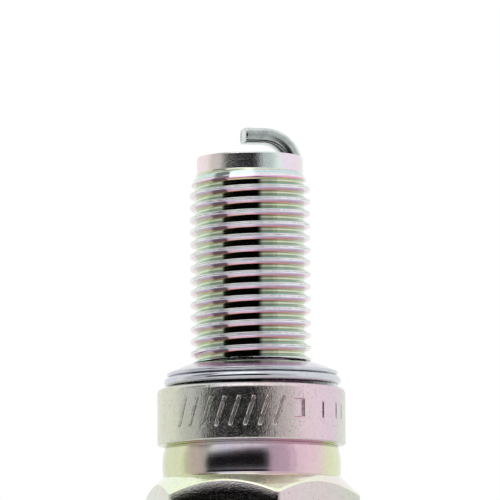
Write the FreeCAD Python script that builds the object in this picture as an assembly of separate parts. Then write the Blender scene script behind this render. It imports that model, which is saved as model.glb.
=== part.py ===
"""Spark plug, M10 x 1.0, 19 mm reach, 16 mm hexagon, standard J-gap with a captive folded gasket and a removable
terminal nut.

Frame, in millimetres: +Z runs along the plug's axis towards the firing end. The origin is the centre of the shell's
gasket seat, the plane that the reach is measured from. The ground electrode's leg stands on the +X side.
"""

import FreeCAD, Part
import math
import os

from FreeCAD import Vector, Placement, Rotation

os.makedirs("parts", exist_ok=True)

# ---------------------------------------------------------------- driving dimensions, mm
# cylinder-head thread
THREAD_MAJOR_R = 4.95
THREAD_ROOT_R = 4.39
THREAD_PITCH = 1.0
THREAD_CREST_Z_AT_X = 0.35  # height of a crest on the +X side, modulo the pitch
REACH = 19.0
PILOT_R = 4.34
PILOT_LOW_Z = 17.62
LEAD_IN_Z = 16.40
THREAD_END_Z = 2.22
RELIEF_R = 4.33
RELIEF_TOP_Z = 1.78

# collar, thinned waist and hexagon
COLLAR_R = 7.67
COLLAR_LOW_Z = -4.62
WAIST_TOP_R = 7.00
WAIST_BULGE_R = 7.29
WAIST_BULGE_Z = -6.15
WAIST_LOW_R = 7.20
WAIST_LOW_Z = -7.25
HEX_AF = 15.9
HEX_CORNER_R = 9.06
HEX_TOP_SHOULDER_Z = -8.86
HEX_LOW_SHOULDER_Z = -15.55
HEX_END_Z = -16.45
HEX_CONE_CROWN = 0.012  # the turned cones at the hexagon's ends are slightly full
HEX_TURN_DEG = 13.4  # angle from -Y to the nearest corner on the +X side of it
CRIMP_R = 7.0
CRIMP_END_Z = -18.35

# shell bores
MOUTH_BORE_R = 2.86
MID_BORE_R = 3.45
MAIN_BORE_R = 5.75

# ground electrode strap
STRAP_T = 1.2
STRAP_W = 2.2
STRAP_EDGE_R = 0.30
STRAP_TURN_DEG = 13.0
STRAP_OUTER_R = 3.15
STRAP_ARC_AXIS_R = 1.10
STRAP_TOP_Z = 21.40
STRAP_TIP_R = -0.55
SPARK_GAP = 0.8

# insulator
NOSE_TIP_Z = 18.1
NOSE_TIP_R = 1.85
NOSE_ROOT_R = 2.52
BODY_MID_R = 3.35
FLANGE_R = 5.62
NECK_R = 4.75
INSULATOR_END_Z = -42.5
RIB_COUNT = 5
RIB_PITCH = 2.5
RIB_FIRST_Z = -29.4
RIB_VALLEY_R = 4.08
TIP_BORE_R = 1.10
CORE_BORE_R = 1.65

# centre electrode and conductor column
ELECTRODE_R = 1.07
ELECTRODE_HEAD_R = 1.52
COPPER_R = 0.62
SEAL_R = 1.64
SEAL_1_Z = (-1.5, 2.35)
RESISTOR_Z = (-9.5, -1.5)
SEAL_2_Z = (-14.0, -9.5)

# terminal
STUD_R = 1.45
STUD_FLANGE_R = 3.0
STUD_FLANGE_T = 0.9
STUD_THREAD_R = 1.97
STUD_THREAD_ROOT_R = 1.55
STUD_THREAD_PITCH = 0.7
STUD_END_Z = -50.1
NUT_R = 3.175
NUT_BARREL_R = 3.1
NUT_GROOVE_R = 2.62
NUT_BORE_R = 2.06
NUT_END_Z = -50.5
NUT_TRAVEL = 8.0

# gasket, a folded strip
GASKET_T = 0.32
GASKET_LIFT = 0.08
GASKET_SHIFT_X = 0.10
GASKET_LEAN_X_DEG = 0.0
GASKET_LEAN_Y_DEG = -0.5

# packings between insulator and shell
PACKING_T = 0.25
WIRE_R = 0.42
WIRE_RING_R = 5.25
WIRE_LOW_Z = -16.64
WIRE_HIGH_Z = -12.20


# ---------------------------------------------------------------- helpers
def v(r, z, y=0.0):
    return Vector(r, y, z)


def outline(points):
    """Closed wire in the XZ plane. Each point is (r, z) or (r, z, fillet radius). A fourth value crowns the straight run
    from that point to the next one by that much, as a spline."""
    n = len(points)
    corners = []
    for i, p in enumerate(points):
        here = Vector(p[0], 0, p[1])
        fillet = p[2] if len(p) > 2 else 0.0
        before = Vector(points[i - 1][0], 0, points[i - 1][1])
        after = Vector(points[(i + 1) % n][0], 0, points[(i + 1) % n][1])
        if not fillet:
            corners.append((here, here, None))
            continue
        a = (before - here).normalize()
        b = (after - here).normalize()
        half = a.getAngle(b) / 2
        back = fillet / math.tan(half)
        start, end = here + a * back, here + b * back
        mid_dir = (a + b).normalize()
        centre = here + mid_dir * (fillet / math.sin(half))
        corners.append((start, end, centre - mid_dir * fillet))
    edges = []
    for i, (start, end, through) in enumerate(corners):
        if through is not None:
            edges.append(Part.Arc(start, through, end).toShape())
        following = corners[(i + 1) % n][0]
        crown = points[i][3] if len(points[i]) > 3 else 0.0
        if (following - end).Length <= 1e-7:
            continue
        if crown:
            run = (following - end).normalize()
            pole = (end + following) * 0.5 + Vector(-run.z, 0, run.x) * (2 * crown)
            curve = Part.BSplineCurve()
            curve.buildFromPoles([end, pole, following], False, 2)
            edges.append(curve.toShape())
        else:
            edges.append(Part.LineSegment(end, following).toShape())
    return Part.Wire(Part.__sortEdges__(edges))


def turned(points):
    """Solid of revolution about Z."""
    return Part.Face(outline(points)).revolve(Vector(0, 0, 0), Vector(0, 0, 1), 360)


def cylinder(r, z0, z1):
    return Part.makeCylinder(r, z1 - z0, Vector(0, 0, z0))


def thread_groove(root_r, major_r, pitch, start_z, end_z, root_half, over):
    """Right-handed V groove to cut from a blank of major_r, its middle at start_z on the +X side."""
    flank = (major_r + over - root_r) * math.tan(math.radians(30))
    profile = Part.makePolygon(
        [
            v(root_r, -root_half + start_z),
            v(major_r + over, -root_half - flank + start_z),
            v(major_r + over, root_half + flank + start_z),
            v(root_r, root_half + start_z),
            v(root_r, -root_half + start_z),
        ]
    )
    helix = Part.makeLongHelix(pitch, end_z - start_z, root_r, 0)
    helix.translate(Vector(0, 0, start_z))
    return Part.Wire(helix.Edges).makePipeShell([profile], True, True)


def hex_prism(af, z0, z1, turn_deg):
    corner = af / 2 / math.cos(math.radians(30))
    pts = []
    for k in range(7):
        a = math.radians(-90 + turn_deg + 60 * k)
        pts.append(Vector(corner * math.cos(a), corner * math.sin(a), z0))
    return Part.Face(Part.makePolygon(pts)).extrude(Vector(0, 0, z1 - z0))


def checked(shape, name):
    if shape.ShapeType != "Solid":
        solids = shape.Solids
        if len(solids) == 1:
            shape = solids[0]
    if not shape.isValid():
        shape = shape.copy()
        shape.fix(1e-6, 1e-6, 1e-4)
    print(
        f"{name:24s} valid={shape.isValid()} solids={len(shape.Solids)} "
        f"volume={shape.Volume:9.3f} faces={len(shape.Faces)}"
    )
    return shape


def save(name, shape):
    shape = checked(shape, name)
    shape.exportStep(f"parts/{name}.step")
    return shape


# ---------------------------------------------------------------- metal shell
packing_drop = PACKING_T * math.sqrt(2)
SHOULDER_TOP_Z = 8.45
SHOULDER_LOW_Z = SHOULDER_TOP_Z - (MID_BORE_R - MOUTH_BORE_R)

shell = turned(
    [
        (MOUTH_BORE_R, REACH, 0.12),
        (PILOT_R, REACH, 0.12),
        (PILOT_R, PILOT_LOW_Z),
        (THREAD_MAJOR_R, LEAD_IN_Z),
        (THREAD_MAJOR_R, THREAD_END_Z),
        (RELIEF_R, RELIEF_TOP_Z),
        (RELIEF_R, 0.0, 0.15),
        (COLLAR_R, 0.0, 0.45),
        (COLLAR_R, COLLAR_LOW_Z, 0.18),
        (WAIST_TOP_R, COLLAR_LOW_Z, 0.08),
        (WAIST_BULGE_R, WAIST_BULGE_Z, 5.0),
        (WAIST_LOW_R, WAIST_LOW_Z, 0.2, HEX_CONE_CROWN),
        (8.02, -7.95, 1.2, HEX_CONE_CROWN),
        (HEX_CORNER_R, HEX_TOP_SHOULDER_Z, 0.25),
        (HEX_CORNER_R, HEX_LOW_SHOULDER_Z, 0.25, HEX_CONE_CROWN),
        (7.75, HEX_END_Z, 0.15),
        (CRIMP_R, HEX_END_Z, 0.2),
        (CRIMP_R, -17.6, 0.75),
        (5.6, CRIMP_END_Z, 0.3),
        (5.04, CRIMP_END_Z + 0.1, 0.25),
        (5.04, -17.48, 0.1),
        (MAIN_BORE_R, -16.96, 0.1),
        (MAIN_BORE_R, -3.9, 0.3),
        (MID_BORE_R, -1.6, 0.2),
        (MID_BORE_R, SHOULDER_LOW_Z),
        (MOUTH_BORE_R, SHOULDER_TOP_Z),
    ]
)
hex_band = cylinder(12.0, -16.9, -7.0).cut(hex_prism(HEX_AF, -17.0, -6.9, HEX_TURN_DEG))
shell = shell.cut(hex_band)
groove_start = THREAD_CREST_Z_AT_X + THREAD_PITCH / 2
shell = shell.cut(
    thread_groove(
        THREAD_ROOT_R, THREAD_MAJOR_R, THREAD_PITCH, groove_start, 18.3, 0.11, 0.05
    )
)
save("metal_shell", shell)

# ---------------------------------------------------------------- ground electrode
arc_axis_z = STRAP_TOP_Z - STRAP_OUTER_R
inner_r = STRAP_OUTER_R - STRAP_T


def on_arc(radius, z):
    return STRAP_ARC_AXIS_R + math.sqrt(radius**2 - (z - arc_axis_z) ** 2)


def arc_mid(radius):
    a0 = math.asin((REACH - arc_axis_z) / radius)
    a = (a0 + math.pi / 2) / 2
    return STRAP_ARC_AXIS_R + radius * math.cos(a), arc_axis_z + radius * math.sin(a)


half_w = STRAP_W / 2
foot_out, foot_in = on_arc(STRAP_OUTER_R, REACH), on_arc(inner_r, REACH)
bottom_z = STRAP_TOP_Z - STRAP_T
strap_edges = [
    Part.LineSegment(v(foot_in, REACH, -half_w), v(foot_out, REACH, -half_w)).toShape(),
    Part.Arc(
        v(foot_out, REACH, -half_w),
        v(*arc_mid(STRAP_OUTER_R), -half_w),
        v(STRAP_ARC_AXIS_R, STRAP_TOP_Z, -half_w),
    ).toShape(),
    Part.LineSegment(
        v(STRAP_ARC_AXIS_R, STRAP_TOP_Z, -half_w), v(STRAP_TIP_R, STRAP_TOP_Z, -half_w)
    ).toShape(),
    Part.LineSegment(
        v(STRAP_TIP_R, STRAP_TOP_Z, -half_w), v(STRAP_TIP_R, bottom_z, -half_w)
    ).toShape(),
    Part.LineSegment(
        v(STRAP_TIP_R, bottom_z, -half_w), v(STRAP_ARC_AXIS_R, bottom_z, -half_w)
    ).toShape(),
    Part.Arc(
        v(STRAP_ARC_AXIS_R, bottom_z, -half_w),
        v(*arc_mid(inner_r), -half_w),
        v(foot_in, REACH, -half_w),
    ).toShape(),
]
strap = Part.Face(Part.Wire(Part.__sortEdges__(strap_edges))).extrude(
    Vector(0, STRAP_W, 0)
)
long_edges = [
    e
    for e in strap.Edges
    if abs(e.BoundBox.YMax - e.BoundBox.YMin) < 1e-6 and e.BoundBox.ZMax > REACH + 0.01
]
strap = strap.makeFillet(STRAP_EDGE_R, long_edges)
strap.rotate(Vector(0, 0, 0), Vector(0, 0, 1), STRAP_TURN_DEG)
save("ground_electrode", strap)

# ---------------------------------------------------------------- insulator
shoulder_shift = SHOULDER_TOP_Z - packing_drop
insulator_points = [
    (TIP_BORE_R, NOSE_TIP_Z, 0.1),
    (NOSE_TIP_R, NOSE_TIP_Z, 0.35),
    (NOSE_ROOT_R, shoulder_shift + (MOUTH_BORE_R - NOSE_ROOT_R), 0.2),
    (BODY_MID_R, shoulder_shift - (BODY_MID_R - MOUTH_BORE_R), 0.2),
    (BODY_MID_R, -2.05, 0.3),
    (FLANGE_R, -4.32, 0.3),
    (FLANGE_R, -11.4, 0.25),
    (NECK_R, -12.0, 0.1),
]
z = RIB_FIRST_Z
insulator_points.append((NECK_R, z, 0.35))
for _ in range(RIB_COUNT):
    insulator_points += [
        (RIB_VALLEY_R, z - 0.55, 0.38),
        (RIB_VALLEY_R, z - 1.15, 0.38),
        (NECK_R, z - 1.7, 0.35),
    ]
    if _ < RIB_COUNT - 1:
        insulator_points.append((NECK_R, z - RIB_PITCH, 0.35))
    z -= RIB_PITCH
insulator_points += [
    (NECK_R, INSULATOR_END_Z + 0.75, 0.3),
    (4.2, INSULATOR_END_Z, 0.35),
    (CORE_BORE_R, INSULATOR_END_Z),
    (CORE_BORE_R, 2.45),
    (TIP_BORE_R, 3.0),
]
save("insulator", turned(insulator_points))

# ---------------------------------------------------------------- centre electrode
tip_z = bottom_z - SPARK_GAP
sheath = turned(
    [
        (0.0, tip_z),
        (ELECTRODE_R, tip_z, 0.06),
        (ELECTRODE_R, 3.0),
        (ELECTRODE_HEAD_R, 2.55, 0.1),
        (ELECTRODE_HEAD_R, 1.1, 0.1),
        (COPPER_R, 1.1),
        (COPPER_R, 17.2),
        (0.0, 17.6),
    ]
)
save("centre_electrode", sheath)
save(
    "electrode_copper_core",
    turned([(0.0, 17.6), (COPPER_R, 17.2), (COPPER_R, 1.1), (0.0, 1.1)]),
)

# ---------------------------------------------------------------- conductor column
electrode_filled = turned(
    [
        (0.0, tip_z),
        (ELECTRODE_R, tip_z),
        (ELECTRODE_R, 3.0),
        (ELECTRODE_HEAD_R, 2.55, 0.1),
        (ELECTRODE_HEAD_R, 1.1, 0.1),
        (0.0, 1.1),
    ]
)
seal_1 = cylinder(SEAL_R, *SEAL_1_Z).cut(electrode_filled)
save("front_glass_seal", seal_1)
save("resistor", cylinder(SEAL_R, *RESISTOR_Z))

flange_top = INSULATOR_END_Z
thread_top = flange_top - STUD_FLANGE_T
stud_points = [
    (0.0, -11.6),
    (1.2, -11.6, 0.1),
    (STUD_R, -12.0, 0.1),
]
for k in range(4):  # rings rolled into the anchored end
    zz = -12.3 - 0.75 * k
    stud_points += [
        (STUD_R, zz),
        (STUD_R - 0.18, zz - 0.18),
        (STUD_R - 0.18, zz - 0.37),
        (STUD_R, zz - 0.55),
    ]
stud_points += [
    (STUD_R, flange_top, 0.1),
    (STUD_FLANGE_R, flange_top, 0.15),
    (STUD_FLANGE_R, thread_top, 0.15),
    (STUD_THREAD_ROOT_R - 0.03, thread_top, 0.1),
    (STUD_THREAD_ROOT_R - 0.03, thread_top - 0.5),
    (STUD_THREAD_R, thread_top - 0.85),
    (STUD_THREAD_R, STUD_END_Z + 0.45),
    (STUD_THREAD_R - 0.5, STUD_END_Z),
    (0.0, STUD_END_Z),
]
stud = turned(stud_points)
seal_2 = cylinder(SEAL_R, *SEAL_2_Z).cut(
    turned(
        stud_points[: 3 + 16]
        + [(STUD_R, flange_top), (0.0, flange_top)]
    )
)
save("rear_glass_seal", seal_2)
stud_groove = thread_groove(
    STUD_THREAD_ROOT_R,
    STUD_THREAD_R,
    STUD_THREAD_PITCH,
    STUD_END_Z - 0.5,
    thread_top - 0.34,
    0.07,
    0.04,
)
stud = stud.cut(stud_groove)
save("terminal_stud", stud)

# ---------------------------------------------------------------- terminal nut
nut_top = thread_top
save(
    "terminal_nut",
    turned(
        [
            (NUT_BORE_R + 0.25, nut_top),
            (NUT_BARREL_R - 0.05, nut_top, 0.12),
            (3.45, nut_top - 0.35, 0.12),
            (3.45, nut_top - 1.25, 0.12),
            (NUT_BARREL_R, nut_top - 1.55, 0.08),
            (NUT_BARREL_R, -46.3, 0.12),
            (NUT_GROOVE_R, -46.85, 0.25),
            (NUT_GROOVE_R, -47.7, 0.25),
            (NUT_R, -48.25, 0.12),
            (NUT_R, NUT_END_Z + 0.55, 0.12),
            (2.72, NUT_END_Z, 0.1),
            (NUT_BORE_R + 0.2, NUT_END_Z),
            (NUT_BORE_R, NUT_END_Z + 0.2),
            (NUT_BORE_R, nut_top - 0.25),
        ]
    ),
)

# ---------------------------------------------------------------- gasket
h = GASKET_T / 2


def strip_outline():
    """The folded strip's section: three leaves joined by an inner and an outer fold, in the gasket's own frame."""
    top_out, top_in = Vector(6.88, 0, 1.07), Vector(5.15, 0, 1.74)
    mid_in, mid_out = Vector(5.15, 0, 1.10), Vector(6.85, 0, 0.70)
    low_out, low_in = Vector(6.85, 0, 0.27), Vector(5.15, 0, 0.16)

    def offset(a, b, side):
        d = (b - a).normalize()
        n = Vector(-d.z, 0, d.x) * (h * side)
        return a + n, b + n

    edges = []
    up = [
        offset(top_out, top_in, -1),
        offset(mid_in, mid_out, -1),
        offset(low_out, low_in, -1),
    ]
    down = [
        offset(top_out, top_in, 1),
        offset(mid_in, mid_out, 1),
        offset(low_out, low_in, 1),
    ]
    fold_in = (top_in + mid_in) * 0.5
    fold_out = (mid_out + low_out) * 0.5
    half_in = (top_in - mid_in).Length / 2
    half_out = (mid_out - low_out).Length / 2

    def line(a, b):
        edges.append(Part.LineSegment(a, b).toShape())

    def arc(a, m, b):
        edges.append(Part.Arc(a, m, b).toShape())

    for side, rows in ((-1, up), (1, down)):
        (a0, a1), (b0, b1), (c0, c1) = rows
        # which side lies outside the inner fold
        grow_in = h if (a1 - fold_in).Length > half_in else -h
        grow_out = h if (b1 - fold_out).Length > half_out else -h
        line(a0, a1)
        arc(a1, fold_in + Vector(-(half_in + grow_in), 0, 0), b0)
        line(b0, b1)
        arc(b1, fold_out + Vector(half_out + grow_out, 0, 0), c0)
        line(c0, c1)
    # ends: a cut edge at the top leaf, another at the bottom leaf
    line(up[0][0], down[0][0])
    line(up[2][1], down[2][1])
    return Part.Wire(Part.__sortEdges__(edges))


gasket = Part.Face(strip_outline()).revolve(Vector(0, 0, 0), Vector(0, 0, 1), 360)
lean = Rotation(Vector(1, 0, 0), GASKET_LEAN_X_DEG).multiply(
    Rotation(Vector(0, 1, 0), GASKET_LEAN_Y_DEG)
)
gasket.Placement = Placement(Vector(GASKET_SHIFT_X, 0, GASKET_LIFT), lean)
save("folded_gasket", gasket)

# ---------------------------------------------------------------- packings
save(
    "seat_packing",
    turned(
        [
            (MOUTH_BORE_R + 0.02, SHOULDER_TOP_Z - 0.02),
            (MID_BORE_R - 0.03, SHOULDER_LOW_Z + 0.03),
            (MID_BORE_R - 0.06, SHOULDER_LOW_Z - packing_drop + 0.06),
            (MOUTH_BORE_R + 0.02, SHOULDER_TOP_Z - packing_drop - 0.02),
        ]
    ),
)
save("front_wire_ring", Part.makeTorus(WIRE_RING_R, WIRE_R, Vector(0, 0, WIRE_HIGH_Z)))
save("rear_wire_ring", Part.makeTorus(WIRE_RING_R, WIRE_R, Vector(0, 0, WIRE_LOW_Z)))
save(
    "talc_packing",
    turned(
        [
            (NECK_R, WIRE_HIGH_Z - WIRE_R),
            (MAIN_BORE_R, WIRE_HIGH_Z - WIRE_R),
            (MAIN_BORE_R, WIRE_LOW_Z + WIRE_R),
            (NECK_R, WIRE_LOW_Z + WIRE_R),
        ]
    ),
)
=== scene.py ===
"""Looks of a long-reach motorcycle spark plug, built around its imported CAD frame. Metres, +Z towards the firing end."""

import math

import bmesh
import bpy
import numpy as np
from mathutils import Matrix, Vector


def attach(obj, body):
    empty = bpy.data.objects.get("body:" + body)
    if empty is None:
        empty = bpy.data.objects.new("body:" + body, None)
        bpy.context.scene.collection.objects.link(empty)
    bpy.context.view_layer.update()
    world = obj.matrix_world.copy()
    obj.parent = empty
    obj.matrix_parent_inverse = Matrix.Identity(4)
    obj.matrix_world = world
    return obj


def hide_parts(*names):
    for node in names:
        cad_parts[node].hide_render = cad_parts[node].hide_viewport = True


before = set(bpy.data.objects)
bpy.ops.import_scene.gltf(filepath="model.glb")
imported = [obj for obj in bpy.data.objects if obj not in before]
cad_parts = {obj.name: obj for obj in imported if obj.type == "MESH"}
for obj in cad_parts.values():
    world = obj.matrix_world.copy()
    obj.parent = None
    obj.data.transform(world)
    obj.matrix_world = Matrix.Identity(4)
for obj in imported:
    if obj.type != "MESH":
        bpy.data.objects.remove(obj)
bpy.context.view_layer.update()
MM = 0.001
scene = bpy.context.scene
RNG = np.random.default_rng(7)


# ------------------------------------------------------------------ mesh helpers, in millimetres
def new_object(name, verts, faces, smooth_deg=38.0, slots=None):
    """Closed mesh from millimetre points. slots gives each face a material index."""
    mesh = bpy.data.meshes.new(name)
    mesh.from_pydata((np.asarray(verts, float) * MM).tolist(), [], faces)
    if slots is not None:
        mesh.polygons.foreach_set("material_index", slots)
    bm = bmesh.new()
    bm.from_mesh(mesh)
    bmesh.ops.remove_doubles(bm, verts=bm.verts, dist=2e-8)
    bmesh.ops.dissolve_degenerate(bm, edges=bm.edges, dist=1e-9)
    bmesh.ops.recalc_face_normals(bm, faces=bm.faces)
    bm.to_mesh(mesh)
    bm.free()
    mesh.polygons.foreach_set("use_smooth", [True] * len(mesh.polygons))
    mesh.set_sharp_from_angle(angle=math.radians(smooth_deg))
    ob = bpy.data.objects.new(name, mesh)
    scene.collection.objects.link(ob)
    return ob


def rounded(points, step_deg=11.0):
    """A polyline of (r, z[, corner radius]) as a dense list of (r, z)."""
    pts = [np.array(p[:2], float) for p in points]
    rad = [p[2] if len(p) > 2 else 0.0 for p in points]
    out = []
    for i, p in enumerate(pts):
        if i == 0 or i == len(pts) - 1 or rad[i] <= 0:
            out.append(tuple(p))
            continue
        a, b = pts[i - 1] - p, pts[i + 1] - p
        la, lb = np.linalg.norm(a), np.linalg.norm(b)
        a, b = a / la, b / lb
        half = math.acos(float(np.clip(a @ b, -1, 1))) / 2
        if math.pi / 2 - half < 1e-3:
            out.append(tuple(p))
            continue
        back = min(rad[i] / math.tan(half), la * 0.499, lb * 0.499)
        r = back * math.tan(half)
        bis = (a + b) / np.linalg.norm(a + b)
        centre = p + bis * (r / math.sin(half))
        s, e = p + a * back - centre, p + b * back - centre
        sweep = math.acos(float(np.clip(s @ e / (r * r), -1, 1)))
        n = max(2, int(math.ceil(sweep / math.radians(step_deg))))
        sign = 1.0 if s[0] * e[1] - s[1] * e[0] > 0 else -1.0
        for k in range(n + 1):
            t = sign * sweep * k / n
            c, sn = math.cos(t), math.sin(t)
            out.append((centre[0] + s[0] * c - s[1] * sn, centre[1] + s[0] * sn + s[1] * c))
    return out


def stitch(columns, closed_profile):
    """Faces between neighbouring columns of points, all of one length; the last column repeats the first one's place."""
    n = len(columns[0])
    verts = [p for c in columns for p in c]
    faces = []
    rows = range(n if closed_profile else n - 1)
    for i in range(len(columns) - 1):
        a, b = i * n, (i + 1) * n
        for j in rows:
            k = (j + 1) % n
            faces.append((a + j, b + j, b + k, a + k))
    return verts, faces


def lathe(name, profile, n=128, closed=False, smooth_deg=38.0):
    """Turns a dense (r, z) list about Z. Points with r = 0 close on the axis."""
    cols = []
    for k in range(n + 1):
        a = 2 * math.pi * (k % n) / n
        cols.append([(r * math.cos(a), r * math.sin(a), z) for r, z in profile])
    verts, faces = stitch(cols, closed)
    return new_object(name, verts, faces, smooth_deg)


# ------------------------------------------------------------------ rolled threads
def thread_section(pitch, root, major, lobe_r, lobe_off, half_up, half_down, swell):
    """One pitch of a rolled 60 degree thread as (dz, r) from crest middle up to the next crest middle. The crest is two lobes
    that meet in a closing seam, and the rolled flanks swell a little in the middle."""
    crest_c = major - lobe_r
    inner = math.degrees(math.asin(min(0.99, lobe_off / lobe_r)))
    sides = []
    for half_angle in (half_up, half_down):
        slope = math.radians(half_angle)
        lean = math.degrees(4 * swell / ((major - root) / math.cos(slope)))
        last = 90 - half_angle - lean
        rows = [
            (lobe_off + lobe_r * math.sin(math.radians(a)), crest_c + lobe_r * math.cos(math.radians(a)))
            for a in (-inner, -inner * 0.6, -inner * 0.2, last * 0.2, last * 0.47, last * 0.74, last)
        ]
        rows[0] = (0.0, rows[0][1])
        z0, r0 = rows[-1]
        for f in (0.04, 0.26, 0.5, 0.74, 0.96, 1.0):
            out = swell * 4 * f * (1 - f)
            rows.append((z0 + (r0 - root) * math.tan(slope) * f + out * math.cos(slope), r0 + (root - r0) * f + out * math.sin(slope)))
        sides.append(rows)
    up, down = sides
    assert pitch - up[-1][0] - down[-1][0] > 0.01, (up[-1], down[-1])
    return up + [(pitch - z, r) for z, r in reversed(down)]


class Thread:
    def __init__(self, pitch, crest_z, section):
        self.pitch, self.crest_z = pitch, crest_z
        self.z = np.array([p[0] for p in section])
        self.r = np.array([p[1] for p in section])
        self.per = len(section) - 1

    def radius(self, z, turn):
        return np.interp((z - self.crest_z - turn * self.pitch) % self.pitch, self.z, self.r)

    def heights(self, t, t0, first, count):
        """Heights, top down, of rows that follow the helix over count pitches from first, at turn t. The rows open out from
        a point at the seam column, so that the mesh closes."""
        u = t - t0
        p = self.pitch
        za = first + p * t0
        zb = za + count * p
        top = [zb + p * u + self.z[q] * (1 - u) for q in range(self.per, 0, -1)]
        mid = [za + (m // self.per) * p + self.z[m % self.per] + p * u for m in range(count * self.per, -1, -1)]
        low = [za + self.z[q] * u for q in range(self.per - 1, -1, -1)]
        return top + mid + low


# ------------------------------------------------------------------ shell
HEX_AF, HEX_CORNER_R, HEX_TURN = 15.9, 9.06, 13.4
HEX_ROUND = 0.55


def hex_radius(turn):
    """Radius of the hexagon with rounded corners at that turn."""
    d = (2 * math.pi * turn - math.radians(-90 + HEX_TURN)) % (math.pi / 3)
    from_corner = min(d, math.pi / 3 - d)
    flat = HEX_AF / 2 / math.cos(math.pi / 6 - from_corner)
    c = HEX_AF / 2 / math.cos(math.pi / 6) - HEX_ROUND / math.cos(math.pi / 6)
    s = c * math.sin(from_corner)
    if s >= HEX_ROUND:
        return flat
    arc = c * math.cos(from_corner) + math.sqrt(HEX_ROUND**2 - s * s)
    # the arc holds from the corner to where it meets the flat
    return arc if math.atan2(HEX_ROUND * 0.5, c + HEX_ROUND * math.cos(math.pi / 6)) > from_corner else flat


def hex_turns():
    """Column places: close together at the hexagon's corners."""
    near = [0.0, 0.55, 1.1, 1.65, 2.2, 3.2]
    between = np.linspace(3.2, 56.8, 19)[1:-1]
    sector = near + list(between) + [60 - a for a in reversed(near[1:])]
    first = -90 + HEX_TURN
    out = [(first + 60 * k + a) / 360 for k in range(6) for a in sector]
    return out + [out[0] + 1.0]


M10 = Thread(1.0, 0.35, thread_section(1.0, 4.39, 4.95, 0.080, 0.064, 30.0, 32.0, 0.0035))

OUTER_TOP = rounded(
    [
        (3.6, 19.0),
        (4.34, 19.0, 0.14),
        (4.34, 17.66, 0.10),
        (4.95, 16.45, 0.25),
        (4.95, 2.22, 0.04),
        (4.33, 1.78, 0.15),
        (4.33, -0.5),
    ]
)
_bz = np.array([p[1] for p in OUTER_TOP])[::-1]
_br = np.array([p[0] for p in OUTER_TOP])[::-1]

BAND_IN, BAND_DROP = 7.08, -0.5  # the collar band is a ring of its own around the body
WAIST_MID, WAIST_R0, WAIST_CURVE = -6.30, 7.27, 5.2


def waist_rows():
    rows = [(BAND_IN, BAND_DROP), (BAND_IN, -4.60)]
    for k in range(0, 15):
        z = -4.62 - (7.16 - 4.62) * k / 14
        r = WAIST_R0 - WAIST_CURVE + math.sqrt(WAIST_CURVE**2 - (z - WAIST_MID) ** 2)
        if k == 0:
            r -= 0.035
        elif k == 1:
            r -= 0.004
        rows.append((r, z))
    r = rows[-1][0]
    rows += [(r + 0.004, -7.205), (r + 0.025, -7.25), (r + 0.07, -7.29)]
    return rows


BELOW = waist_rows()
CRIMP = rounded(
    [
        (7.75, -16.45, 0.15),
        (7.0, -16.45, 0.2),
        (7.0, -17.6, 0.75),
        (5.6, -18.35, 0.3),
        (5.04, -18.25, 0.2),
        (5.04, -17.48, 0.1),
        (5.75, -16.96, 0.1),
        (5.75, -3.9, 0.3),
        (3.45, -1.6, 0.2),
        (3.45, -0.5),
    ]
)[1:]
BORE_UP = rounded([(3.45, -0.5), (3.45, 7.86), (2.86, 8.45), (2.86, 19.0, 0.12), (3.6, 19.0)])[:-1]

CONE_TOP = [(7.31, -7.30), (7.95, -7.92), (9.06, -8.90), (9.6, -9.40)]
CONE_LOW = [(7.72, -16.45), (7.95, -16.28), (9.06, -15.50), (9.6, -15.12)]


def cone_z(table, r):
    return float(np.interp(r, [p[0] for p in table], [p[1] for p in table]))


def thread_rows(t, t0, k):
    """(r, z, zone) down one column of the threaded length. Zones: 0 thread, 1 pilot and rim, 2 inside."""
    rows = []
    for r, z in OUTER_TOP:
        if z > 17.53:
            rows.append((r, z, 1))
    for i, z in enumerate(M10.heights(t, t0, 1.35, 16)):
        z = min(z, 17.52)
        cut = float(M10.radius(z, t))
        r = min(float(np.interp(z, _bz, _br)), cut)
        if cut > 4.90 and (i % M10.per) == 0:
            r -= float(SEAM[(i // M10.per * 120 + k) % len(SEAM)])
        rows.append((r, z, 0))
    for r, z in OUTER_TOP:
        if z < 1.35 + M10.pitch * t0 - 0.03:
            rows.append((r, z, 0))
    for r, z in BORE_UP:
        rows.append((r, z, 2))
    return rows


def hex_rows(t):
    """(r, z, zone) down one column of the body below the seat. Zones: 0 waist, 1 cones, 2 flats, 3 inside."""
    rows = [(r, z, 0) for r, z in BELOW]
    # hexagon: cone, rounded meeting line, flat, meeting line, cone
    rf = hex_radius(t)
    e = 0.035
    zt, zl = cone_z(CONE_TOP, rf), cone_z(CONE_LOW, rf)
    start = BELOW[-1][0] + 0.05
    for k in range(0, 7):
        r = start + (rf - e - start) * k / 6
        rows.append((r, cone_z(CONE_TOP, r), 1))
    rows.append((rf - e * 0.28, zt - e * 0.28, 1))
    rows.append((rf, zt - e, 2))
    for k in range(1, 9):
        rows.append((rf, (zt - e) + (zl - zt + 2 * e) * k / 9, 2))
    rows.append((rf, zl + e, 2))
    rows.append((rf - e * 0.28, zl + e * 0.28, 2))
    for k in range(0, 4):
        r = rf - e + (7.80 - rf + e) * k / 4
        rows.append((r, cone_z(CONE_LOW, r), 1))
    for r, z in CRIMP:
        rows.append((r, z, 3))
    return rows


def build_columns(name, turns, make, smooth_deg=32.0):
    cols, zones = [], None
    for k, t in enumerate(turns):
        rows = make(t, k)
        a = 2 * math.pi * t
        cols.append([(r * math.cos(a), r * math.sin(a), z) for r, z, _ in rows])
        zones = [zone for _, _, zone in rows]
    verts, faces = stitch(cols, True)
    n = len(zones)
    slots = [zones[(j + 1) % n] for _ in range(len(cols) - 1) for j in range(n)]
    return new_object(name, verts, faces, smooth_deg, slots)


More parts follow.
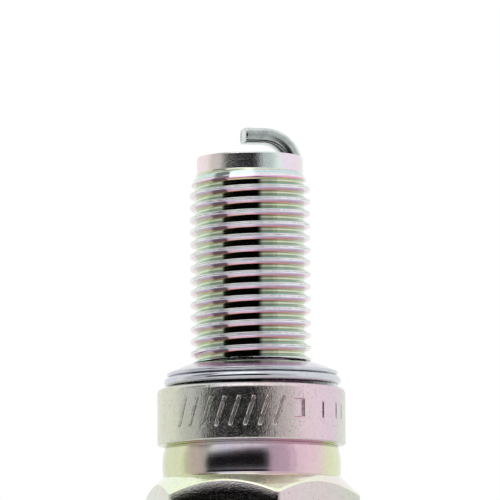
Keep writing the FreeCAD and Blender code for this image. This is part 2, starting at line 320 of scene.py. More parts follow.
# the closing seam comes and goes along the crest
SEAM = np.clip(np.convolve(RNG.normal(0, 1, 120 * 20), np.ones(3) / 3, "same") * 0.022, 0.0, 0.03)
T0 = (-90 + HEX_TURN) / 360
thread = build_columns("shell_thread", [T0 + k / 120 for k in range(121)], lambda t, k: thread_rows(t, T0, k % 120))
hexagon = build_columns("shell_hexagon", hex_turns(), lambda t, k: hex_rows(t))


# ------------------------------------------------------------------ collar band with plain stamped bars
def bar_depth(s, z, centre, z_mid, half_s, half_z, depth, lean, wall=0.07):
    """Depth of a rectangular stamp at arc length s and height z, with sloping walls."""
    ds = np.clip((half_s - abs(s - centre - lean * (z - z_mid))) / wall + 0.5, 0, 1)
    dz = np.clip((half_z - abs(z - z_mid)) / wall + 0.5, 0, 1)
    return depth * min(ds, dz)


# plain slanted bars: (azimuth in degrees, half width, half height, middle z, depth, lean)
STAMPS = [(d, 0.10, 1.13, -2.30, 0.20, 0.34) for d in (-46.0, -37.0, -28.0, -19.0, -10.0, -1.0, 8.0, 17.0)]
STAMPS += [(30.4, 0.42, 0.72, -2.05, 0.24, 0.0), (49.0, 0.09, 0.66, -2.10, 0.15, 0.0), (63.5, 0.09, 0.62, -2.10, 0.13, 0.0), (71.5, 0.09, 0.62, -2.10, 0.12, 0.0)]


def build_collar():
    fine_lo, fine_hi = -52.0, 74.0
    az = list(np.arange(fine_lo, fine_hi + 0.01, 0.36))
    rest = list(np.linspace(fine_hi, fine_lo + 360, 86))[1:]
    az = az + rest
    top = rounded([(4.33, -0.25), (4.33, 0.0), (7.67, 0.0, 0.47), (7.67, -0.9)], 9.0)[1:]
    band = list(np.arange(-0.98, -3.75, -0.075))
    low = rounded([(7.67, -3.8), (7.67, -4.62, 0.17), (7.12, -4.62, 0.03), (BAND_IN, -4.50), (BAND_IN, BAND_DROP), (4.33, BAND_DROP)], 12.0)
    profile = [(r, z, False) for r, z in top] + [(7.67, z, True) for z in band] + [(r, z, False) for r, z in low]
    cols = []
    for d in az:
        a = math.radians(d - 90)
        col = []
        for r, z, stamped in profile:
            if stamped and fine_lo < d < fine_hi:
                deep = max(
                    bar_depth(math.radians(d) * 7.67, z, math.radians(c) * 7.67, zm, hs, hz, dp, lean)
                    for c, hs, hz, zm, dp, lean in STAMPS
                )
                r = r - float(deep)
            col.append((r * math.cos(a), r * math.sin(a), z))
        cols.append(col)
    verts, faces = stitch(cols, True)
    return new_object("shell_collar", verts, faces, 40.0)


collar = build_collar()


# ------------------------------------------------------------------ ground electrode
def build_strap():
    thick, width, edge, turn = 1.20, 2.2, 0.34, math.radians(13.0)
    top_z, outer_r, arc_x, tip_x = 21.40, 3.15, 1.10, -0.50
    mid_r = outer_r - thick / 2
    arc_z = top_z - outer_r
    # centre line from inside the rim to the free end
    a0 = math.asin((19.0 - arc_z) / mid_r)
    path = []
    n_arc = 40
    for k in range(n_arc + 1):
        a = a0 + (math.pi / 2 - a0) * k / n_arc
        path.append((arc_x + mid_r * math.cos(a), arc_z + mid_r * math.sin(a), a))
    for k in range(1, 13):
        path.append((arc_x + (tip_x - arc_x) * k / 12, arc_z + mid_r, math.pi / 2))
    section = []
    ht, hw, crown = thick / 2, width / 2, 0.035
    centres = ((ht - edge, hw - edge), (-(ht - edge), hw - edge), (-(ht - edge), -(hw - edge)), (ht - edge, -(hw - edge)))
    for q in range(4):
        cx, cy = centres[q]
        for k in range(9):
            a = math.radians(90 * q + 90 * k / 8)
            section.append((cx + edge * math.cos(a), cy + edge * math.sin(a)))
        # the drawn strip's sides are slightly full
        nx, ny = math.cos(math.radians(90 * q + 90)), math.sin(math.radians(90 * q + 90))
        ax, ay = section[-1]
        fx, fy = centres[(q + 1) % 4]
        bx, by = fx + edge * nx, fy + edge * ny
        for f in (0.12, 0.3, 0.5, 0.7, 0.88):
            push = crown * 4 * f * (1 - f)
            section.append((ax + (bx - ax) * f + nx * push, ay + (by - ay) * f + ny * push))
    rings = []
    for i, (x, z, a) in enumerate(path):
        out = (math.cos(a), math.sin(a))
        ring = []
        for u, w in section:
            ring.append((x + out[0] * u, w, z + out[1] * u))
        rings.append(ring)
    # free end: a sheared face with a small rounded edge
    x, z, a = path[-1]
    for shrink, ahead in ((0.02, 0.035), (0.055, 0.055)):
        ring = []
        for u, w in section:
            ring.append((x - ahead, w * (1 - shrink / hw), z + u * (1 - shrink / ht)))
        rings.append(ring)
    verts = [p for ring in rings for p in ring]
    n = len(section)
    faces = []
    for i in range(len(rings) - 1):
        for k in range(n):
            j = (k + 1) % n
            faces.append((i * n + k, i * n + j, (i + 1) * n + j, (i + 1) * n + k))
    faces.append(tuple(range(n)))
    last = (len(rings) - 1) * n
    faces.append(tuple(last + k for k in reversed(range(n))))
    c, s = math.cos(turn), math.sin(turn)
    verts = [(x * c - y * s, x * s + y * c, z) for x, y, z in verts]
    return new_object("ground_strap", verts, faces, 40.0)


strap = build_strap()

# ------------------------------------------------------------------ insulator
ins_points = [
    (1.10, 18.1, 0.1),
    (1.85, 18.1, 0.35),
    (2.52, 8.44, 0.2),
    (3.35, 7.61, 0.2),
    (3.35, -2.05, 0.3),
    (5.62, -4.32, 0.3),
    (5.62, -11.4, 0.25),
    (4.75, -12.0, 0.1),
]
z = -29.4
ins_points.append((4.75, z, 0.4))
for rib in range(5):
    ins_points += [(4.08, z - 0.55, 0.42), (4.08, z - 1.15, 0.42), (4.75, z - 1.7, 0.40)]
    if rib < 4:
        ins_points.append((4.75, z - 2.5, 0.40))
    z -= 2.5
ins_points += [(4.75, -41.75, 0.35), (4.2, -42.5, 0.35), (1.65, -42.5), (1.65, 2.45), (1.10, 3.0)]
loop = [(1.10, 3.0)] + ins_points
insulator = lathe("insulator_ceramic", rounded(loop, 10.0)[:-1], 160, True, 60.0)

# ------------------------------------------------------------------ centre electrode
electrode = lathe(
    "centre_tip",
    rounded([(0, 19.4), (1.07, 19.4, 0.07), (1.07, 3.0), (1.52, 2.55, 0.1), (1.52, 1.1, 0.1), (0, 1.1)], 15.0),
    64,
)

# ------------------------------------------------------------------ terminal stud and nut
M4 = Thread(0.7, -43.55, thread_section(0.7, 1.55, 1.97, 0.05, 0.03, 30.0, 30.0, 0.0))
STUD_TOP = rounded(
    [
        (0.0, -11.6),
        (1.2, -11.6, 0.1),
        (1.45, -12.0, 0.1),
        (1.45, -42.5, 0.1),
        (3.0, -42.5, 0.15),
        (3.0, -43.4, 0.15),
        (1.52, -43.4, 0.1),
        (1.52, -43.9),
        (1.97, -44.25),
        (1.97, -49.65),
        (1.47, -50.1),
        (0.0, -50.1),
    ],
    15.0,
)


def build_stud():
    n = 96
    cols = []
    sz = np.array([p[1] for p in STUD_TOP if p[1] <= -43.85])[::-1]
    sr = np.array([p[0] for p in STUD_TOP if p[1] <= -43.85])[::-1]
    for k in range(n + 1):
        t = k / n
        rows = [(r, z) for r, z in STUD_TOP if z > -43.82]
        hs = [h for h in M4.heights(t, 0.0, -43.55 - 9 * 0.7, 8)]
        top_fix = -43.85
        for h in hs:
            hh = min(h, top_fix)
            hh = max(hh, -50.1)
            r = min(float(np.interp(hh, sz, sr)), float(M4.radius(hh, t)))
            rows.append((r, hh))
        rows.append((0.0, -50.1))
        a = 2 * math.pi * (k % n) / n
        cols.append([(r * math.cos(a), r * math.sin(a), z) for r, z in rows])
    verts, faces = stitch(cols, False)
    return new_object("stud_threaded", verts, faces, 50.0)


stud = build_stud()

nut = lathe(
    "terminal_cap",
    rounded(
        [
            (2.06, -43.65),
            (2.31, -43.4),
            (3.05, -43.4, 0.12),
            (3.45, -43.75, 0.12),
            (3.45, -44.65, 0.12),
            (3.1, -44.95, 0.08),
            (3.1, -46.3, 0.12),
            (2.62, -46.85, 0.25),
            (2.62, -47.7, 0.25),
            (3.175, -48.25, 0.12),
            (3.175, -49.95, 0.12),
            (2.72, -50.5, 0.1),
            (2.26, -50.5),
            (2.06, -50.3),
        ],
        12.0,
    ),
    144,
    True,
)


# ------------------------------------------------------------------ gasket
def gasket_profile():
    """The folded strip's outline, closed, in the gasket's own frame: the same leaves and folds as its CAD solid."""
    h = 0.16
    mid = []

    def arc(cx, cz, r, a0, a1, n):
        for k in range(n + 1):
            a = math.radians(a0 + (a1 - a0) * k / n)
            mid.append((cx + r * math.cos(a), cz + r * math.sin(a)))

    # centre line: top leaf's cut edge, inwards, inner fold, outwards, outer fold, inwards along the seat
    mid += [(6.88, 1.07), (6.60, 1.185), (6.2, 1.35), (5.8, 1.515), (5.5, 1.63)]
    arc(5.15, 1.42, 0.32, 69, 257, 14)
    mid += [(5.6, 0.99), (6.2, 0.85), (6.6, 0.763)]
    arc(6.85, 0.485, 0.215, 77, -86, 14)
    mid += [(6.4, 0.24), (5.8, 0.20), (5.15, 0.16)]
    m = np.array(mid)
    d = np.gradient(m, axis=0)
    d /= np.linalg.norm(d, axis=1)[:, None]
    nrm = np.stack([-d[:, 1], d[:, 0]], axis=1)
    left = m + nrm * h
    right = m - nrm * h
    cap_end = []
    # rounded cut edges
    def cap(centre, direction, normal):
        pts = []
        for k in range(1, 6):
            a = math.radians(90 - 180 * k / 6)
            pts.append(centre + normal * h * math.sin(a) + direction * h * 0.55 * math.cos(a))
        return pts

    start = cap(m[0], -d[0], nrm[0])[::-1]
    end = cap(m[-1], d[-1], nrm[-1])
    loop = list(left) + list(end) + list(right[::-1]) + list(start)
    return [tuple(p) for p in loop]


def build_gasket():
    prof = gasket_profile()
    n = 200
    lean = Matrix.Rotation(math.radians(-0.5), 3, "Y")
    cols = []
    for k in range(n + 1):
        a = 2 * math.pi * (k % n) / n
        wob = 0.014 * math.sin(2 * a + 0.7) + 0.008 * math.sin(5 * a + 2.0)
        out = 0.015 * math.sin(3 * a + 1.1)
        col = []
        for r, z in prof:
            hgt = np.clip(z / 1.4, 0, 1)
            rr = r + out * hgt
            p = Vector((rr * math.cos(a), rr * math.sin(a), z + wob * hgt))
            p = lean @ p + Vector((0.10, 0, 0.08))
            col.append(tuple(p))
        cols.append(col)
    verts, faces = stitch(cols, True)
    return new_object("gasket_ring", verts, faces, 50.0)


gasket = build_gasket()


# ------------------------------------------------------------------ materials
class Nodes:
    def __init__(self, name):
        self.mat = bpy.data.materials.new(name)
        self.mat.use_nodes = True
        self.t = self.mat.node_tree
        self.t.nodes.clear()
        self.out = self.add("ShaderNodeOutputMaterial")
        self.bsdf = self.add("ShaderNodeBsdfPrincipled")
        self.link(self.bsdf, "BSDF", self.out, "Surface")
        self.coord = self.add("ShaderNodeTexCoord")

    def add(self, kind, **props):
        n = self.t.nodes.new(kind)
        for k, v in props.items():
            setattr(n, k, v)
        return n

    def link(self, a, out, b, inp):
        self.t.links.new(a.outputs[out], b.inputs[inp])

    def scaled(self, scale, offset=(0, 0, 0)):
        m = self.add("ShaderNodeMapping")
        m.inputs["Scale"].default_value = scale
        m.inputs["Location"].default_value = offset
        self.link(self.coord, "Object", m, "Vector")
        return m

    def noise(self, scale, detail=4.0, rough=0.55, stretch=(1, 1, 1), offset=(0, 0, 0), distortion=0.0):
        m = self.scaled(stretch, offset)
        n = self.add("ShaderNodeTexNoise")
        n.inputs["Scale"].default_value = scale
        n.inputs["Detail"].default_value = detail
        n.inputs["Roughness"].default_value = rough
        n.inputs["Distortion"].default_value = distortion
        self.link(m, "Vector", n, "Vector")
        return n

    def ramp(self, source, out, stops, interp="LINEAR"):
        r = self.add("ShaderNodeValToRGB")
        r.color_ramp.interpolation = interp
        els = r.color_ramp.elements
        while len(els) < len(stops):
            els.new(0.5)
        for e, (pos, col) in zip(els, stops):
            e.position = pos
            e.color = (*col, 1) if len(col) == 3 else col
        self.link(source, out, r, "Fac")
        return r

    def mix(self, fac, fac_out, a, a_out, b, b_out, mode="MIX", amount=None):
        m = self.add("ShaderNodeMix", data_type="RGBA", blend_type=mode)
        if amount is not None:
            m.inputs[0].default_value = amount
        else:
            self.link(fac, fac_out, m, 0)
        self.t.links.new(a.outputs[a_out], m.inputs[6])
        self.t.links.new(b.outputs[b_out], m.inputs[7])
        return m

    def math(self, op, a, b, clamp=False):
        m = self.add("ShaderNodeMath", operation=op)
        m.use_clamp = clamp
        for i, v in enumerate((a, b)):
            if isinstance(v, tuple):
                self.t.links.new(v[0].outputs[v[1]], m.inputs[i])
            elif v is not None:
                m.inputs[i].default_value = v
        return m


def srgb(r, g, b):
    """Linear colour of an sRGB one, 0 to 255."""
    return tuple(((c / 255) / 12.92) if c / 255 <= 0.04045 else (((c / 255) + 0.055) / 1.055) ** 2.4 for c in (r, g, b))


def by_azimuth(m, stops):
    """Colour by angle around the axis. stops are (degrees from -Y towards +X, colour)."""
    sep = m.add("ShaderNodeSeparateXYZ")
    m.link(m.coord, "Object", sep, "Vector")
    back = m.math("MULTIPLY", (sep, "Y"), -1.0)
    turn = m.math("ARCTAN2", (sep, "X"), (back, 0))
    drift = m.noise(110.0, 2.0, 0.5, (1, 1, 1.6), (0.3, 0.1, 0.8))
    wander = m.math("MULTIPLY", m_sub(m, drift), 0.9)
    turn = m.math("ADD", (turn, 0), (wander, 0))
    part = m.math("ADD", (m.math("MULTIPLY", (turn, 0), 1 / (2 * math.pi)), 0), 0.5)
    return m.ramp(part, 0, [((d + 180) / 360, srgb(*c)) for d, c in stops])


def m_sub(m, noise):
    return (m.math("SUBTRACT", (noise, "Fac"), 0.5), 0)


def by_helix(m, pitch, crest, stops):
    """Colour by place within one pitch, up from the crest."""
    sep = m.add("ShaderNodeSeparateXYZ")
    m.link(m.coord, "Object", sep, "Vector")
    turn = m.math("ARCTAN2", (sep, "Y"), (sep, "X"))
    turn = m.math("MULTIPLY", (turn, 0), 1 / (2 * math.pi))
    h = m.math("MULTIPLY", (sep, "Z"), 1000 / pitch)
    h = m.math("SUBTRACT", (h, 0), crest / pitch)
    h = m.math("SUBTRACT", (h, 0), (turn, 0))
    drift = m.noise(420.0, 3.0, 0.55, (1, 1, 0.4), (0.9, 0.2, 0.5))
    h = m.math("ADD", (h, 0), (m.math("MULTIPLY", m_sub(m, drift), 0.10), 0))
    u = m.math("FRACT", (h, 0), None)
    return m.ramp(u, 0, [(f, srgb(*c)) for f, c in stops]), u


FILM_STOPS = [
    (0.28, (240, 236, 206)),
    (0.40, (218, 236, 212)),
    (0.48, (238, 239, 236)),
    (0.55, (240, 214, 233)),
    (0.64, (224, 218, 241)),
    (0.74, (214, 236, 232)),
]


def plated(name, rough=(0.10, 0.20), grain=0.0, grain_scale=9000.0, grain_size=0.00004, tint=1.0, streak=(1, 1, 0.12), base=(238, 238, 235), seed=0.0, azimuth=None, helix=None, film=0.45, spots=0.0, detail=3.0, wash=0.86):
    """Bright zinc with a thin passivation film: its thickness drifts, so patches lean to pink, green, yellow or lilac."""
    m = Nodes(name)
    b = m.bsdf
    b.inputs["Metallic"].default_value = 1.0
    drift = m.noise(230.0, 3.0, 0.5, streak, (seed, seed * 0.7, 0), 0.6)
    pal = m.ramp(drift, "Fac", [(f, srgb(*c)) for f, c in FILM_STOPS])
    if azimuth:
        pal = (m.mix(None, None, by_azimuth(m, azimuth), "Color", pal, "Color", amount=film), 2)
    else:
        pal = (pal, "Color")
    if helix:
        lay, u = by_helix(m, *helix)
        pal = (m.mix(None, None, lay, "Color", pal[0], pal[1], amount=0.15), 2)
        # the film turns pale green towards both sides, away from -Y; this paler colour is partly film colour and partly
        # a painted sheen that lightens the sides
        side_film_and_sheen_mask = by_azimuth(m, [(-180, (150, 150, 150)), (-72, (190, 190, 190)), (-54, (0, 0, 0)), (54, (0, 0, 0)), (72, (190, 190, 190)), (180, (150, 150, 150))])
        green = m.add("ShaderNodeRGB")
        green.outputs[0].default_value = (*srgb(232, 244, 230), 1)
        pal = (m.mix(side_film_and_sheen_mask, "Color", pal[0], pal[1], green, 0), 2)
    plain = m.add("ShaderNodeRGB")
    plain.outputs[0].default_value = (*srgb(*base), 1)
    mixed = m.mix(None, None, plain, 0, pal[0], pal[1], amount=tint)
    wear = m.noise(2600.0, 5.0, 0.62, (1, 1, 1), (seed, 1.3, 0.4))
    dull = m.ramp(wear, "Fac", [(0.30, (0.92 * wash,) * 3), (0.55, (wash,) * 3), (0.80, (0.97 * wash,) * 3)])
    col = m.mix(None, None, mixed, 2, dull, "Color", "MULTIPLY", amount=1.0)
    if spots > 0:
        dark = m.noise(5200.0, 2.0, 0.6, (1, 1, 1), (0.6, seed, 0.1))
        d = m.ramp(dark, "Fac", [(0.30, (0.45, 0.44, 0.42)), (0.40, (1, 1, 1)), (1.0, (1, 1, 1))])
        col = m.mix(None, None, col, 2, d, "Color", "MULTIPLY", amount=spots)
    if helix:
        # the closing seam: a broken dark line along the crest; the seam is a real mark, and its darkness is partly
        # painted shade in the seam's crease
        line = m.ramp(u, 0, [(0.0, (1, 1, 1)), (0.012, (1, 1, 1)), (0.024, (0, 0, 0)), (0.976, (0, 0, 0)), (0.988, (1, 1, 1)), (1.0, (1, 1, 1))])
        gaps = m.noise(1500.0, 3.0, 0.6, (1, 1, 1), (0.4, 0.9, 0.2))
        broken = m.ramp(gaps, "Fac", [(0.44, (0, 0, 0)), (0.56, (1, 1, 1))])
        on = m.math("MULTIPLY", (line, "Color"), (broken, "Color"))
        on = m.math("MULTIPLY", (on, 0), 0.55)
        seam_and_shade_colour = m.add("ShaderNodeRGB")
        seam_and_shade_colour.outputs[0].default_value = (0.06, 0.055, 0.05, 1)
        col = m.mix(on, 0, col, 2, seam_and_shade_colour, 0)
    m.link(col, 2, b, "Base Color")
    rn = m.noise(1400.0, 4.0, 0.6, (1, 1, 1), (0.2, seed, 0.9))
    mr = m.add("ShaderNodeMapRange")
    mr.inputs["From Min"].default_value = 0.3
    mr.inputs["From Max"].default_value = 0.7
    mr.inputs["To Min"].default_value, mr.inputs["To Max"].default_value = rough
    m.link(rn, "Fac", mr, "Value")
    m.link(mr, "Result", b, "Roughness")
    if grain > 0:
        bump = m.add("ShaderNodeBump")
        bump.inputs["Strength"].default_value = grain
        bump.inputs["Distance"].default_value = grain_size
        g = m.noise(grain_scale, detail, 0.62)
        m.link(g, "Fac", bump, "Height")
        m.link(bump, "Normal", b, "Normal")
    return m.mat


THREAD_TINTS_AND_HIGHLIGHT = (
    1.0,
    0.35,
    [
        (0.00, (250, 250, 251)),
        (0.10, (228, 236, 238)),
        (0.14, (196, 226, 214)),
        (0.20, (188, 232, 238)),
        # painted highlight: this lighter stop makes a narrow bright band inside the cyan tint in each pitch
        (0.25, (214, 246, 252)),
        (0.30, (192, 226, 216)),
        (0.345, (212, 232, 210)),
        (0.365, (206, 150, 150)),
        (0.39, (214, 228, 200)),
        (0.56, (214, 226, 196)),
        (0.60, (206, 222, 190)),
        (0.66, (236, 214, 170)),
        (0.71, (236, 160, 176)),
        (0.78, (240, 164, 204)),
        (0.85, (240, 200, 232)),
        (0.91, (248, 246, 252)),
        (1.00, (250, 250, 251)),
    ],
)
WAIST_TINTS = [
    (-180, (232, 226, 214)),
    (-110, (220, 232, 196)),
    (-72, (214, 228, 168)),
    (-52, (232, 240, 176)),
    (-42, (232, 206, 180)),
    (-33, (226, 196, 190)),
    (-20, (206, 206, 214)),
    (8, (214, 196, 210)),
    (17, (232, 178, 208)),
    (34, (240, 188, 214)),
    (48, (240, 204, 208)),
    (64, (232, 240, 180)),
    (100, (222, 236, 200)),
    (140, (236, 220, 220)),
    (180, (232, 226, 214)),
]
COLLAR_TINTS = [
    (-180, (236, 236, 232)),
    (-100, (228, 238, 222)),
    (-66, (222, 228, 196)),
    (-48, (222, 224, 200)),
    (-30, (228, 224, 218)),
    (-6, (232, 230, 228)),
    (8, (240, 222, 226)),
    (24, (242, 214, 222)),
    (42, (240, 208, 226)),
    (58, (232, 210, 222)),
    (80, (216, 230, 208)),
    (180, (236, 236, 232)),
]
PILOT_TINTS = [
    (-180, (236, 236, 232)),
    (-95, (228, 238, 222)),
    (-74, (240, 214, 222)),
    (-50, (240, 222, 220)),
    (-32, (230, 226, 222)),
    (0, (232, 234, 238)),
    (16, (214, 232, 232)),
    (28, (222, 234, 232)),
    (34, (232, 216, 236)),
    (62, (238, 214, 234)),
    (90, (222, 238, 218)),
    (180, (236, 236, 232)),
]
CONE_TINTS = [
    (-180, (236, 238, 226)),
    (-60, (238, 248, 222)),
    (-20, (244, 252, 214)),
    (20, (242, 252, 218)),
    (60, (238, 226, 226)),
    (110, (226, 238, 214)),
    (180, (236, 238, 226)),
]
mat_thread = plated("plated_thread", (0.025, 0.06), tint=0.95, wash=0.92, helix=THREAD_TINTS_AND_HIGHLIGHT)
mat_pilot = plated("plated_pilot", (0.12, 0.19), grain=0.9, grain_scale=8000.0, grain_size=0.000017, detail=4.5, tint=0.95, wash=1.0, seed=2.0, azimuth=PILOT_TINTS, film=0.2)
mat_collar = plated("plated_collar", (0.105, 0.175), grain=1.0, grain_scale=6800.0, grain_size=0.000028, tint=0.95, seed=4.0, azimuth=COLLAR_TINTS, film=0.2, spots=0.45, detail=3.0)
mat_waist = plated("plated_waist", (0.15, 0.19), grain=0.2, grain_scale=4500.0, grain_size=0.000004, tint=0.95, seed=6.0, azimuth=WAIST_TINTS, film=0.25)
mat_cone = plated("plated_cone", (0.07, 0.12), wash=1.0, grain=0.2, grain_scale=4000.0, grain_size=0.000005, tint=1.0, seed=7.0, azimuth=CONE_TINTS, film=0.2)
mat_hex = plated("plated_hex", (0.06, 0.10), grain=1.0, grain_scale=7000.0, grain_size=0.000021, detail=3.5, tint=0.62, base=(222, 222, 212), seed=9.0, azimuth=COLLAR_TINTS, film=0.3, spots=0.4)
mat_inside = plated("plated_inside", (0.30, 0.42), grain=0.6, grain_scale=5200.0, grain_size=0.00003, tint=0.3, base=(180, 178, 172), seed=11.0)
mat_gasket = plated("plated_gasket", (0.09, 0.15), grain=0.5, grain_scale=5200.0, grain_size=0.00001, tint=0.18, streak=(1, 1, 1), base=(218, 224, 230), seed=13.0)
for mat in (mat_thread, mat_pilot, mat_inside):
    thread.data.materials.append(mat)
for mat in (mat_waist, mat_cone, mat_hex, mat_inside):
    hexagon.data.materials.append(mat)
collar.data.materials.append(mat_collar)
gasket.data.materials.append(mat_gasket)


def nickel(name, base=(204, 213, 211), rough=(0.13, 0.22)):
    m = Nodes(name)
    b = m.bsdf
    b.inputs["Metallic"].default_value = 1.0
    n = m.noise(1500.0, 5.0, 0.6, (1, 1, 1))
    c = m.ramp(n, "Fac", [(0.3, srgb(base[0] - 22, base[1] - 22, base[2] - 22)), (0.5, srgb(*base)), (0.72, srgb(base[0] + 16, base[1] + 16, base[2] + 18))])
    m.link(c, "Color", b, "Base Color")
    mr = m.add("ShaderNodeMapRange")
    mr.inputs["To Min"].default_value, mr.inputs["To Max"].default_value = rough
    m.link(n, "Fac", mr, "Value")
    m.link(mr, "Result", b, "Roughness")
    bump = m.add("ShaderNodeBump")
    bump.inputs["Strength"].default_value = 0.4
    bump.inputs["Distance"].default_value = 0.00001
    g = m.noise(6500.0, 3.0, 0.6)
    m.link(g, "Fac", bump, "Height")
    m.link(bump, "Normal", b, "Normal")
    return m.mat


mat_nickel = nickel("nickel_alloy_satin")
strap.data.materials.append(mat_nickel)
electrode.data.materials.append(nickel("nickel_alloy_tip", (170, 168, 164), (0.25, 0.4)))


def ceramic():
    m = Nodes("glazed_alumina")
    b = m.bsdf
    n = m.noise(160.0, 4.0, 0.5)
    c = m.ramp(n, "Fac", [(0.35, srgb(238, 238, 232)), (0.6, srgb(246, 246, 242)), (0.8, srgb(241, 241, 238))])
    speck = m.noise(5200.0, 2.0, 0.5)
    s = m.ramp(speck, "Fac", [(0.0, (1, 1, 1)), (0.74, (1, 1, 1)), (0.80, (0.80, 0.79, 0.76))])
    col = m.mix(None, None, c, "Color", s, "Color", "MULTIPLY", amount=0.6)
    m.link(col, 2, b, "Base Color")
    rn = m.noise(500.0, 3.0, 0.5)
    mr = m.add("ShaderNodeMapRange")
    mr.inputs["To Min"].default_value, mr.inputs["To Max"].default_value = 0.22, 0.34
    m.link(rn, "Fac", mr, "Value")
    m.link(mr, "Result", b, "Roughness")
    b.inputs["Coat Weight"].default_value = 0.8
    b.inputs["Coat Roughness"].default_value = 0.04
    bump = m.add("ShaderNodeBump")
    bump.inputs["Strength"].default_value = 0.25
    bump.inputs["Distance"].default_value = 0.00003
    g = m.noise(900.0, 3.0, 0.5)
    m.link(g, "Fac", bump, "Height")
    m.link(bump, "Normal", b, "Normal")
    return m.mat


insulator.data.materials.append(ceramic())


def turned_metal(name, base, rough=(0.16, 0.3), lines=9000.0):
    """Lathe-turned metal: fine rings along the axis."""
    m = Nodes(name)
    b = m.bsdf
    b.inputs["Metallic"].default_value = 1.0
    rings = m.noise(lines, 3.0, 0.7, (0.02, 0.02, 1))
    blotch = m.noise(420.0, 4.0, 0.55)
    c = m.ramp(blotch, "Fac", [(0.3, srgb(base[0] - 14, base[1] - 14, base[2] - 16)), (0.55, srgb(*base)), (0.8, srgb(base[0] + 8, base[1] + 8, base[2] + 8))])
    m.link(c, "Color", b, "Base Color")
    mr = m.add("ShaderNodeMapRange")
    mr.inputs["To Min"].default_value, mr.inputs["To Max"].default_value = rough
    m.link(rings, "Fac", mr, "Value")
    m.link(mr, "Result", b, "Roughness")
    bump = m.add("ShaderNodeBump")
    bump.inputs["Strength"].default_value = 0.6
    bump.inputs["Distance"].default_value = 0.00002
    m.link(rings, "Fac", bump, "Height")
    m.link(bump, "Normal", b, "Normal")
    return m.mat


nut.data.materials.append(turned_metal("turned_terminal", (214, 211, 204)))
stud.data.materials.append(turned_metal("turned_stud", (196, 193, 186), (0.2, 0.34)))

for piece, body, node, slot_name in (
    (thread, "plug", "metal_shell", "plated_steel"),
    (hexagon, "plug", "metal_shell", "plated_steel"),
    (collar, "plug", "metal_shell", "plated_steel"),
    (strap, "plug", "ground_electrode", "nickel_alloy"),
    (insulator, "plug", "insulator", "glazed_alumina"),
    (electrode, "plug", "centre_electrode", "nickel_alloy"),
    (stud, "plug", "terminal_stud", "plated_steel_stud"),
    (nut, "nut", "terminal_nut", "terminal_metal"),
    (gasket, "gasket", "folded_gasket", "gasket_steel"),
):
    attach(piece, body)
    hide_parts(node)

# ------------------------------------------------------------------ world with its lighting panels, floor, camera
world = bpy.data.worlds.new("studio")
scene.world = world
world.use_nodes = True
wt = world.node_tree
wt.nodes.clear()
w_out = wt.nodes.new("ShaderNodeOutputWorld")
w_bg = wt.nodes.new("ShaderNodeBackground")
wt.links.new(w_bg.outputs[0], w_out.inputs[0])
w_co = wt.nodes.new("ShaderNodeTexCoord")
w_sep = wt.nodes.new("ShaderNodeSeparateXYZ")
wt.links.new(w_co.outputs["Generated"], w_sep.inputs[0])


def wmath(op, a, b=None, clamp=False):
    n = wt.nodes.new("ShaderNodeMath")
    n.operation = op
    n.use_clamp = clamp
    for i, v in enumerate((a, b)):
        if v is None:
            continue
        if isinstance(v, (int, float)):
            n.inputs[i].default_value = v
        else:
            wt.links.new(v, n.inputs[i])
    return n.outputs[0]


def wstep(value, lo, hi):
    """0 below lo, 1 above hi, smooth between."""
    n = wt.nodes.new("ShaderNodeMapRange")
    n.interpolation_type = "SMOOTHSTEP"
    wt.links.new(value, n.inputs["Value"])
    n.inputs["From Min"].default_value = lo
    n.inputs["From Max"].default_value = hi
    n.inputs["To Min"].default_value = 0.0
    n.inputs["To Max"].default_value = 1.0
    return n.outputs["Result"]


neg_y = wmath("MULTIPLY", w_sep.outputs["Y"], -1.0)
azim = wmath("MULTIPLY", wmath("ARCTAN2", w_sep.outputs["X"], neg_y), 180 / math.pi)
elev = wmath("MULTIPLY", wmath("ARCSINE", w_sep.outputs["Z"]), 180 / math.pi)


def panel(a0, a1, e0, e1, soft, soft_a0, soft_a1, slant=0.0, knee=0.0):
    """1 inside the panel's azimuth and elevation limits, in degrees. Its upper edge drops by slant degrees for each degree of
    azimuth below the knee."""
    x = wmath("MULTIPLY", wstep(azim, a0 - soft_a0, a0 + soft_a0), wmath("SUBTRACT", 1.0, wstep(azim, a1 - soft_a1, a1 + soft_a1)))
    top = elev
    if slant:
        top = wmath("ADD", elev, wmath("MULTIPLY", wmath("MAXIMUM", wmath("SUBTRACT", knee, azim), 0.0), slant))
    y = wmath("MULTIPLY", wstep(elev, e0 - soft, e0 + soft), wmath("SUBTRACT", 1.0, wstep(top, e1 - soft, e1 + soft)))
    return wmath("MULTIPLY", x, y)


level = wmath("ADD", 1.0, 0.0)
for a0, a1, e0, e1, to, soft, soft_a0, soft_a1, slant in (
    (-100, -58, -40, 60, 0.68, 6.0, 8.0, 5.0, 0.0),
    (-60, 12, 42, 86, 1.5, 5.0, 3.0, 12.0, 0.0),
    (-96, -60, 26, 60, 0.26, 5.0, 5.0, 3.0, 0.0),
    (-96, -59, -40, -14, 0.35, 5.0, 5.0, 3.0, 0.0),
    (18, 54, -40, 34, 0.62, 4.0, 7.0, 9.0, 0.0),
    (57, 59.5, -40, 34, 0.60, 4.0, 0.8, 0.8, 0.0),
    (-61, 21.5, -15, 27, 0.08, 5.0, 4.5, 7.0, 0.17),
    (-61, 21.5, -9, 18.5, 0.002, 2.6, 4.5, 7.0, 0.17),
):
    p = panel(a0, a1, e0, e1, soft, soft_a0, soft_a1, slant, -4.0)
    # level = level * (1 - p) + to * p
    level = wmath("ADD", wmath("MULTIPLY", level, wmath("SUBTRACT", 1.0, p)), wmath("MULTIPLY", p, to))
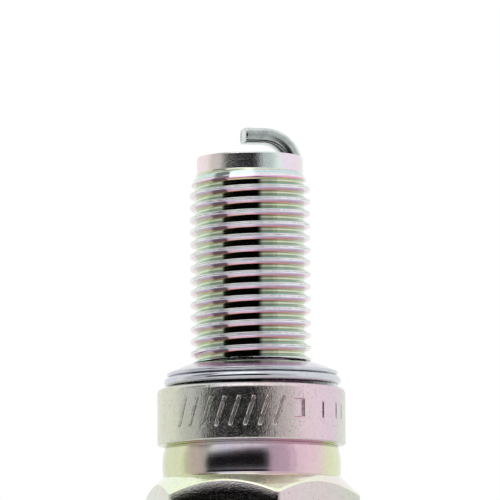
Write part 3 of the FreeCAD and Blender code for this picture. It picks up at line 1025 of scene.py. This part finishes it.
path = wt.nodes.new("ShaderNodeLightPath")
seen = path.outputs["Is Camera Ray"]
strength = wmath("ADD", wmath("MULTIPLY", level, wmath("SUBTRACT", 1.0, seen)), wmath("MULTIPLY", seen, 1.0))
w_bg.inputs["Color"].default_value = (1, 1, 1, 1)
wt.links.new(strength, w_bg.inputs["Strength"])

bpy.ops.mesh.primitive_circle_add(vertices=96, radius=0.16, fill_type="NGON", location=(0, 0, -0.0590))
floor = bpy.context.object
floor.name = "floor"
fm = bpy.data.materials.new("floor_pale")
fm.use_nodes = True
ft = fm.node_tree
ft.nodes.clear()
fo = ft.nodes.new("ShaderNodeOutputMaterial")
fd = ft.nodes.new("ShaderNodeBsdfDiffuse")
fd.inputs["Color"].default_value = (0.86, 0.86, 0.85, 1)
fx = ft.nodes.new("ShaderNodeBsdfTransparent")
fmix = ft.nodes.new("ShaderNodeMixShader")
fg = ft.nodes.new("ShaderNodeNewGeometry")
ft.links.new(fg.outputs["Backfacing"], fmix.inputs[0])
ft.links.new(fd.outputs[0], fmix.inputs[1])
ft.links.new(fx.outputs[0], fmix.inputs[2])
ft.links.new(fmix.outputs[0], fo.inputs[0])
floor.data.materials.append(fm)

scene.view_settings.view_transform = "Standard"
scene.view_settings.look = "None"

CAM = dict(dist=0.400, elev=-6.4, target=(-0.00003, 0.0, 0.01141), roll=-0.36, width=0.0409)
cam_data = bpy.data.cameras.new("camera")
cam = bpy.data.objects.new("camera", cam_data)
scene.collection.objects.link(cam)
scene.camera = cam
cam_data.sensor_width = 36.0
cam_data.lens = 36.0 * CAM["dist"] / CAM["width"]
cam_data.clip_start, cam_data.clip_end = 0.01, 10.0
e = math.radians(CAM["elev"])
back = Vector((0, -math.cos(e), math.sin(e)))
cam.location = Vector(CAM["target"]) + back * CAM["dist"]
q = (-back).to_track_quat("-Z", "Y")
cam.rotation_mode = "QUATERNION"
cam.rotation_quaternion = q @ Matrix.Rotation(math.radians(CAM["roll"]), 4, "Z").to_quaternion()
